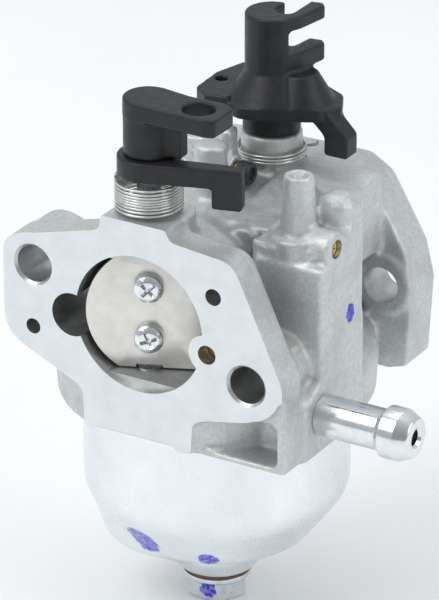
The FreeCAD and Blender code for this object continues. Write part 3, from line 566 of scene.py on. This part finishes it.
def casting_fillers():
    """Plugs for the holes that are cut again once the corners are round."""
    spare = 0.25
    fillers = [
        rod("fill", 12.0 + spare, 19.0, placed(0, -MACHINED_SPARE, 0, "Y")),
        rod("fill", 10.4, DEPTH - 14.0, placed(0, 14.0 + MACHINED_SPARE, 0, "Y")),
        rod("fill", 3.8 + spare, 11.0, placed(-12.7, -MACHINED_SPARE, -1.2, "Y")),
        rod("fill", 1.6, 6.0, placed(-20.2, -MACHINED_SPARE, -5.0, "Y")),
        rod("fill", 1.7, 6.0, placed(14.0, -MACHINED_SPARE, 8.2, "Y")),
        rod("fill", 1.9, 10.0, placed(12.8, -MACHINED_SPARE, -2.3, "Y")),
        rod("fill", 2.3, CHOKE_BOSS_TOP + 13.0, placed(CHOKE_X, CHOKE_Y, -13.0)),
        rod("fill", 2.8, THROTTLE_BOSS_TOP + 11.4, placed(0, THROTTLE_Y, -11.4)),
        rod("fill", SEAL_R + 0.3, 1.6, placed(0, THROTTLE_Y, THROTTLE_BOSS_TOP - 1.6)),
        rod("fill", 2.8, WALL_X - 16.0, placed(16.0, NIPPLE_Y, NIPPLE_Z, "X")),
        rod("fill", 1.8, WALL_X - 24.0, placed(24.0, 15.8, 13.6, "X")),
    ]
    for side in (-1, 1):
        for low, high in ((-MACHINED_SPARE, FRONT_BOSS_BACK), (REAR_BOSS_FRONT, DEPTH + MACHINED_SPARE)):
            fillers.append(rod("fill", 3.5, high - low, placed(STUD_X * side, low, -STUD_Z * side, "Y")))
    return fillers


def casting():
    points, triangles = solid_of(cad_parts["body_casting"])
    points[points[:, 1] < 0.001, 1] = -MACHINED_SPARE
    points[points[:, 1] > DEPTH - 0.001, 1] = DEPTH + MACHINED_SPARE
    fillers = casting_fillers()
    solid = joined([(points, triangles)] + [solid_of(f) for f in fillers])
    discard(fillers)
    obj = softened("casting_shell", solid, CAST_HOLLOW_ROUND, CAST_EDGE_ROUND, CAST_VOXEL, cast, 3)
    carve(obj, casting_tools())
    room = box("room", (-40, 0, -80), (WALL_X, DEPTH, 40), machined)
    carve(obj, [room], "INTERSECT")
    return hand_in(obj, "carburetor_body", "cast_alloy", "body_casting", angle=40)


# ---------------------------------------------------------------- bowl, bolt and nipple

def bowl():
    """Deep-drawn cup: a round cup and an offset sump, blended, with an even wall."""
    top = CHAMBER_BOTTOM + 1.2
    cup = lathe("cup", [
        (0, BOWL_FLOOR), (6.4, BOWL_FLOOR, 0.6), (8.9, -50.9, 1.2), (9.2, -49.3, 0.8), (15.8, -46.9, 3.0),
        (22.5, -38.2, 7.0),
        (22.5, top + 4), (0, top + 4)], placed(0, BOWL_Y, 0), sides=192)
    sump = lathe("sump", [
        (0, -52.7), (3.6, -52.7, 2.0), (12.7, -47.4, 3.0), (15.9, -38.0), (0, -38.0)],
        placed(-5.2, BOWL_Y - 3.1, 0), sides=192)
    solid = joined([solid_of(cup), solid_of(sump)])
    discard([cup, sump])
    voxel, blend, wall = 0.3, 1.5, 0.9
    outside = from_polygons("float_bowl_shell", shifted(solid, (blend, -blend), voxel), zinc_bowl)
    smoothed(outside, 8)
    inside = from_polygons("inside", shifted(solid_of(outside), (-wall,), voxel), zinc_bowl)
    smoothed(inside, 6)
    carve(outside, [inside, rod("bolt_hole", 3.3, 6.0, placed(0, BOWL_Y, BOWL_FLOOR - 2), zinc_bowl)])
    carve(outside, [box("room", (-40, -20, -80), (40, 80, top), zinc_bowl)], "INTERSECT")
    return hand_in(outside, "carburetor_body", "zinc_plate", "float_bowl", angle=50)


def gasket():
    obj = lathe("bowl_gasket_ring", [
        (21.15, CHAMBER_BOTTOM + 1.3), (22.85, CHAMBER_BOTTOM + 1.3),
        (22.85, CHAMBER_BOTTOM + 2.5, 0.4), (21.15, CHAMBER_BOTTOM + 2.5, 0.4)],
        placed(0, BOWL_Y, 0), rubber, 128)
    return hand_in(obj, "carburetor_body", "rubber", "bowl_gasket")


def bolt():
    """Flanged hexagon bolt that holds the bowl, with a chamfered head and a dished end."""
    reach = 9.6 / 2 / math.cos(math.pi / 6)
    hexagon = [(reach * math.cos(math.radians(60 * i)), reach * math.sin(math.radians(60 * i)))
               for i in range(6)]
    low = BOWL_FLOOR - 5.3
    head = prism("bowl_bolt_piece", hexagon, low, BOWL_FLOOR - 1.4, placed(0, BOWL_Y, 0), zinc_bolt)
    crown = lathe("crown", [
        (0, low + 0.35), (2.4, low + 0.35, 0.4), (2.9, low, 0.3), (4.5, low, 0.3), (6.4, low + 1.2),
        (6.4, BOWL_FLOOR - 1.4), (0, BOWL_FLOOR - 1.4)], placed(0, BOWL_Y, 0), zinc_bolt, 96)
    carve(head, [crown], "INTERSECT")
    collar = lathe("collar", [
        (0, BOWL_FLOOR - 2.1), (5.3, BOWL_FLOOR - 2.1, 0.5), (5.9, BOWL_FLOOR - 1.5, 0.3),
        (5.9, BOWL_FLOOR - 0.8, 0.1), (3.0, BOWL_FLOOR - 0.8), (3.0, -44.8, 0.4), (0, -44.8)],
        placed(0, BOWL_Y, 0), zinc_bolt, 96)
    carve(head, [collar], "UNION")
    bevelled(head, 0.14, 2, 30)
    return hand_in(head, "carburetor_body", "zinc_screw", "bowl_bolt")


def washer():
    obj = lathe("bolt_washer_ring", [
        (3.1, BOWL_FLOOR - 0.77), (5.9, BOWL_FLOOR - 0.77, 0.15), (5.9, BOWL_FLOOR - 0.03, 0.15),
        (3.1, BOWL_FLOOR - 0.03)], placed(0, BOWL_Y, 0), fibre, 96)
    return hand_in(obj, "carburetor_body", "fibre", "bowl_bolt_washer")


def nipple():
    """Turned hose nipple with a bulb, a rounded nose and a chamfered bore."""
    start, tip = 17.0, 28.0
    step = WALL_X - start
    obj = lathe("fuel_nipple_tube", [
        (1.35, 0), (2.5, 0), (2.5, step + 0.02), (3.5, step + 0.02, 0.15), (3.5, 22.1, 0.8),
        (4.4, 22.9, 0.35), (4.4, 25.7, 0.5), (3.3, tip, 0.7), (1.75, tip, 0.1), (1.35, tip - 0.5)],
        placed(start, NIPPLE_Y, NIPPLE_Z, "X"), zinc_bright, 128)
    return hand_in(obj, "carburetor_body", "zinc_screw", "fuel_inlet_nipple")


# ---------------------------------------------------------------- choke

def turned_about(x, y, turn):
    return Matrix.Translation((x, y, 0)) @ Matrix.Rotation(turn, 4, "Z")


def choke_plate():
    """Thin disc with flats above and below, two screw holes and a notch at the bottom."""
    move = turned_about(CHOKE_X, CHOKE_Y, CHOKE_PLATE_TURN)
    disc = rod("choke_butterfly", 11.85, 0.95, move @ placed(1.5, -0.98, 0, "Y"), plate_metal, 160)
    flats = box("flats", (-20, -2, -9.95), (20, 1, 9.95), plate_metal, move)
    carve(disc, [flats], "INTERSECT")
    holes = [rod("hole", 1.35, 4.0, move @ placed(0, -2, z, "Y"), plate_metal, 48) for z in (-4.5, 4.5)]
    notch = box("notch", (-2.2, -2, -12), (2.2, 1, -9.45), plate_metal, move)
    carve(disc, holes + [notch])
    bevelled(disc, 0.12, 3)
    return hand_in(disc, "choke", "plate_steel", "choke_plate")


def cross_tool(depth, arm, width, move, material):
    """Two crossed bars that narrow towards the bottom of a driver recess."""
    tools = []
    for turn in (0, math.pi / 2):
        upright = move @ Matrix.Rotation(turn, 4, "Z") @ Matrix.Rotation(math.pi / 2, 4, "X")
        side = [(-arm, 0.3), (arm, 0.3), (arm * 0.45, -depth), (-arm * 0.45, -depth)]
        tools.append(prism("bar", side, -width / 2, width / 2, upright, material))
    return tools


def pan_screw(name, head_z, seat_z, tip_z, head_r, thread_r, move, material):
    """Pan-head screw along Z with its head at the top, with a cross recess and threads."""
    corners = [(0, head_z), (head_r * 0.62, head_z, 1.2), (head_r, head_z - 0.6, 0.7),
               (head_r, seat_z + 0.12, 0.1), (head_r - 0.12, seat_z), (thread_r, seat_z)]
    turns = int((seat_z - tip_z - 0.3) / 0.4)
    for k in range(turns):
        crest = seat_z - 0.25 - 0.4 * k
        corners += [(thread_r - 0.22, crest + 0.1), (thread_r, crest - 0.1)]
    corners += [(thread_r - 0.25, tip_z), (0, tip_z)]
    screw = lathe(name, corners, move, material, 64)
    carve(screw, cross_tool(1.25, head_r * 0.66, 0.62, move @ Matrix.Translation((0, 0, head_z)), material))
    return bevelled(screw, 0.05, 2, 50)


def choke_screws():
    move = turned_about(CHOKE_X, CHOKE_Y, CHOKE_PLATE_TURN)
    screws = []
    for z in (-4.5, 4.5):
        facing = move @ Matrix.Translation((0, 0, z)) @ Matrix.Rotation(math.pi / 2, 4, "X")
        facing = facing @ Matrix.Rotation(math.radians(20 + 25 * (z > 0)), 4, "Z")
        screws.append(pan_screw("choke_screw", 2.75, 1.02, -1.9, 2.5, 1.27, facing, zinc_bright))
    both = carve(screws[0], screws[1:], "UNION")
    both.name = "choke_plate_screw_pair"
    return hand_in(both, "choke", "zinc_screw", "choke_plate_screws")


def choke_shaft():
    move = turned_about(CHOKE_X, CHOKE_Y, CHOKE_PLATE_TURN)
    shaft = lathe("choke_spindle", [
        (0, -13.0), (2.0, -13.0, 0.3), (2.0, 33.6, 0.4), (0, 33.6)], move, steel_shaft, 64)
    half = 9.98
    tools = [box("flat", (-3, -3, -half), (3, 0, half), steel_shaft, move)]
    tools += [rod("hole", 1.3, 6.0, move @ placed(0, -1, z, "Y"), steel_shaft, 32) for z in (-4.5, 4.5)]
    carve(shaft, tools)
    bevelled(shaft, 0.08)
    return hand_in(shaft, "choke", "shaft_steel", "choke_shaft")


def moulded(name, node, voxel=0.14, hollow_round=0.35, edge_round=0.28):
    """A moulded piece: the CAD solid with every corner rounded."""
    solid = solid_of(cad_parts[node])
    return softened(name, solid, hollow_round, edge_round, voxel, nylon, 2)


def choke_lever():
    return hand_in(moulded("choke_lever_moulding", "choke_lever"), "choke", "black_nylon", "choke_lever",
                   angle=50)


def choke_arm():
    return hand_in(moulded("choke_arm_moulding", "choke_arm"), "choke_arm", "black_nylon", "choke_arm",
                   angle=50)


# ---------------------------------------------------------------- springs

def wire(name, path, radius, material, sides=14):
    """A round wire that follows points in millimetres, with rounded ends."""
    bm = bmesh.new()
    path = [Vector(p) for p in path]
    ahead = [(path[min(i + 1, len(path) - 1)] - path[max(i - 1, 0)]).normalized() for i in range(len(path))]
    across = ahead[0].orthogonal().normalized()
    loops = []
    for i, (point, along) in enumerate(zip(path, ahead)):
        across = (across - along * across.dot(along)).normalized()
        other = along.cross(across)
        loops.append([bm.verts.new(point + (across * math.cos(a) + other * math.sin(a)) * radius)
                      for a in (2 * math.pi * k / sides for k in range(sides))])
    for low, high in zip(loops, loops[1:]):
        for k in range(sides):
            after = (k + 1) % sides
            bm.faces.new([low[k], low[after], high[after], high[k]])
    for loop, point, out in ((loops[0], path[0], -ahead[0]), (loops[-1], path[-1], ahead[-1])):
        tip = bm.verts.new(point + out * radius * 0.6)
        for k in range(sides):
            bm.faces.new([loop[k], loop[(k + 1) % sides], tip])
    return piece(name, bm, material)


def helix(x, y, low, high, radius, turns, start, steps=30):
    """Points of a coil whose middle turns lie closer than its end ones."""
    count = int(turns * steps)
    points = []
    for k in range(count + 1):
        share = k / count
        eased = share + 0.035 * math.sin(2 * math.pi * share)
        angle = start + 2 * math.pi * turns * share
        height = low + (high - low) * eased
        points.append((x + radius * math.cos(angle), y + radius * math.sin(angle), height))
    return points


def leg(start, toward, length, bend, steps=6):
    """A short end wire that leaves start in a direction, then turns up or down by a bend."""
    start, toward = Vector(start), Vector(toward).normalized()
    points = [start + toward * length * k / steps for k in range(1, steps + 1)]
    last = points[-1]
    for k in range(1, steps + 1):
        angle = math.pi / 2 * k / steps
        points.append(last + toward * 0.6 * math.sin(angle) + Vector((0, 0, bend)) * (1 - math.cos(angle)))
    return points


def choke_spring():
    coil = helix(CHOKE_X, CHOKE_Y, 18.3, 23.75, 5.4, 9.5, math.radians(35))
    path = coil + leg(coil[-1], (0.3, 1, 0.1), 2.4, 0.5)
    obj = wire("choke_spring_coil", path, 0.22, steel_spring)
    return hand_in(obj, "carburetor_body", "spring_steel", "choke_return_spring", angle=60)


def throttle_spring():
    coil = helix(0, THROTTLE_Y, 14.3, 16.16, 5.9, 3.0, math.radians(20))
    path = coil + leg(coil[-1], (0.9, 0.2, 0.2), 1.4, 0.5)
    obj = wire("throttle_spring_coil", path, 0.25, steel_spring)
    return hand_in(obj, "carburetor_body", "spring_steel", "throttle_return_spring", angle=60)


# ---------------------------------------------------------------- throttle

def throttle_lever():
    return hand_in(moulded("throttle_lever_moulding", "throttle_lever", 0.15, 0.45, 0.32), "throttle",
                   "black_nylon", "throttle_lever", angle=50)


def throttle_parts():
    move = turned_about(0, THROTTLE_Y, THROTTLE_TURN)
    shaft = lathe("throttle_spindle", [
        (0, -11.3), (2.5, -11.3, 0.3), (2.5, 31.7, 0.4), (0, 31.7)], move, steel_shaft, 64)
    half = 9.43
    carve(shaft, [box("slot", (-4, -0.55, -half), (4, 0.55, half), steel_shaft, move),
                  rod("hole", 1.05, 6.0, move @ placed(0, -3, 0, "Y"), steel_shaft, 32)])
    bevelled(shaft, 0.08)
    hand_in(shaft, "throttle", "shaft_steel", "throttle_shaft")

    disc = rod("throttle_butterfly", 9.38, 1.0, move @ placed(0, -0.5, 0, "Y"), plate_metal, 160)
    carve(disc, [rod("hole", 1.05, 4.0, move @ placed(0, -2, 0, "Y"), plate_metal, 32)])
    bevelled(disc, 0.15, 3)
    hand_in(disc, "throttle", "plate_steel", "throttle_plate")

    facing = move @ Matrix.Rotation(math.pi / 2, 4, "X")
    screw = pan_screw("throttle_plate_screw_piece", 4.2, 2.53, -2.4, 2.0, 1.0, facing, zinc_bright)
    hand_in(screw, "throttle", "zinc_screw", "throttle_plate_screw")

    seal = lathe("shaft_seal_ring", [
        (2.56, THROTTLE_BOSS_TOP - 1.17), (SEAL_R, THROTTLE_BOSS_TOP - 1.17),
        (SEAL_R, THROTTLE_BOSS_TOP - 0.1, 0.3), (2.56, THROTTLE_BOSS_TOP - 0.1, 0.2)],
        placed(0, THROTTLE_Y, 0), rubber, 96)
    hand_in(seal, "carburetor_body", "rubber", "throttle_shaft_seal")


# ---------------------------------------------------------------- jets, plugs and inside pieces

def small_metal():
    jet = lathe("air_jet_piece", [
        (0.45, 3.4), (0.9, 3.0, 0.1), (1.6, 3.0, 0.15), (1.6, 6.0), (0.45, 6.0)],
        placed(12.8, 0, -2.3, "Y"), brass, 48)
    hand_in(jet, "carburetor_body", "brass", "air_jet")
    plug = lathe("passage_plug_piece", [
        (0, 0), (1.55, 0), (1.55, 2.6, 0.3), (0.8, 2.8, 0.2), (0.5, 2.2, 0.2), (0, 2.2)],
        placed(24.3, 15.8, 13.6, "X"), brass, 48)
    hand_in(plug, "carburetor_body", "brass", "passage_plug")
    screw = lathe("idle_screw_piece", [
        (0, 0), (0.5, 1.5), (1.35, 2.5), (1.35, 6.6), (0, 6.6)], placed(-6.9, 32.9, 14.7, "X"), brass, 48)
    hand_in(screw, "carburetor_body", "brass", "idle_mixture_screw")
    cap = lathe("limiter_cap_piece", [
        (0, 0), (1.95, 0, 0.15), (1.95, 2.4, 0.5), (1.1, 2.4, 0.1), (0.9, 1.8), (0, 1.8)],
        placed(-0.25, 32.9, 14.7, "X"), cap_plastic, 64)
    grooves = []
    for k in range(12):
        around = Matrix.Rotation(2 * math.pi * k / 12, 4, "X")
        centre = Matrix.Translation((0, 32.9, 14.7))
        flute = centre @ around @ placed(0.6, 0, 2.05, "X")
        grooves.append(rod("groove", 0.2, 2.2, flute, cap_plastic, 16))
    carve(cap, grooves)
    hand_in(cap, "carburetor_body", "cap_plastic", "mixture_limiter_cap")


CARRIED = {
    "inlet_valve_seat": brass, "inlet_needle": steel_shaft, "needle_tip": rubber, "emulsion_tube": brass,
    "main_jet": brass, "pilot_jet": brass, "float": float_plastic, "float_hinge_pin": steel_shaft,
}


def carried_over():
    """CAD pieces that keep their shape and take a finish."""
    for name, material in CARRIED.items():
        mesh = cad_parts[name].data
        mesh.materials.clear()
        mesh.materials.append(material)


# ---------------------------------------------------------------- floor, light and camera

def stage():
    bm = bmesh.new()
    reach, floor_z = 2500.0, cad_low.z / MM
    bmesh.ops.create_grid(bm, x_segments=8, y_segments=8, size=reach)
    pale = finish("pale_floor", speckled((0.93, 0.935, 0.94), (0.90, 0.905, 0.91), 60.0),
                  uneven(0.55, 0.65, 30.0), 0.0, [(relief(2.0), 0.01)])
    floor = piece("floor", bm, pale, Matrix.Translation((0, 0, floor_z)))


AZIMUTH, ELEVATION = math.radians(30.5), math.radians(25.0)
VIEW_RIGHT = Vector((math.cos(AZIMUTH), math.sin(AZIMUTH), 0))
VIEW_BACK = Vector((math.sin(AZIMUTH) * math.cos(ELEVATION), -math.cos(AZIMUTH) * math.cos(ELEVATION),
                    math.sin(ELEVATION)))
VIEW_UP = VIEW_BACK.cross(VIEW_RIGHT)


def camera():
    data = bpy.data.cameras.new("camera")
    data.lens = 300
    data.sensor_width = 36
    data.clip_start, data.clip_end = 0.05, 20
    obj = bpy.data.objects.new("camera", data)
    bpy.context.scene.collection.objects.link(obj)
    turn = Matrix((VIEW_RIGHT, VIEW_UP, VIEW_BACK)).transposed()
    where = (VIEW_RIGHT * 13.086 + VIEW_UP * 4.039 + VIEW_BACK * 807.8) * MM
    obj.matrix_world = Matrix.Translation(where) @ turn.to_4x4()
    bpy.context.scene.camera = obj


def soft_box(name, azimuth, elevation, distance, size, watts):
    """A square light that faces the object from a direction."""
    data = bpy.data.lights.new(name, "AREA")
    data.shape = "SQUARE"
    data.size = size
    data.energy = watts
    obj = bpy.data.objects.new(name, data)
    bpy.context.scene.collection.objects.link(obj)
    a, e = math.radians(azimuth), math.radians(elevation)
    out = Vector((math.sin(a) * math.cos(e), -math.cos(a) * math.cos(e), math.sin(e)))
    obj.location = out * distance
    obj.rotation_mode = "QUATERNION"
    obj.rotation_quaternion = out.to_track_quat("Z", "Y")


def studio():
    world = bpy.data.worlds.new("studio")
    bpy.context.scene.world = world
    world.use_nodes = True
    direction = add(world, "TexCoord")["Generated"]
    facing = add(world, "VectorMath", {0: direction, 1: (VIEW_BACK.x, VIEW_BACK.y, 0)},
                 operation="DOT_PRODUCT")[1]
    shade = mixed(world, between(world, facing, 0, 1, 0.1, 0.9), (0.92, 0.95, 0.97), (0.42, 0.44, 0.46))
    background = world.node_tree.nodes["Background"]
    world.node_tree.links.new(shade, background.inputs["Color"])
    background.inputs["Strength"].default_value = 0.72
    soft_box("key", -35, 48, 0.9, 0.6, 3.7)
    soft_box("fill", 95, 30, 0.9, 0.6, 2.0)
    soft_box("top", 200, 70, 0.9, 0.7, 1.5)
    bpy.context.scene.view_settings.view_transform = "Standard"


stage()
camera()
studio()
casting()
bowl()
gasket()
bolt()
washer()
nipple()
choke_plate()
choke_screws()
choke_shaft()
choke_lever()
choke_arm()
choke_spring()
throttle_spring()
throttle_lever()
throttle_parts()
small_metal()
carried_over()
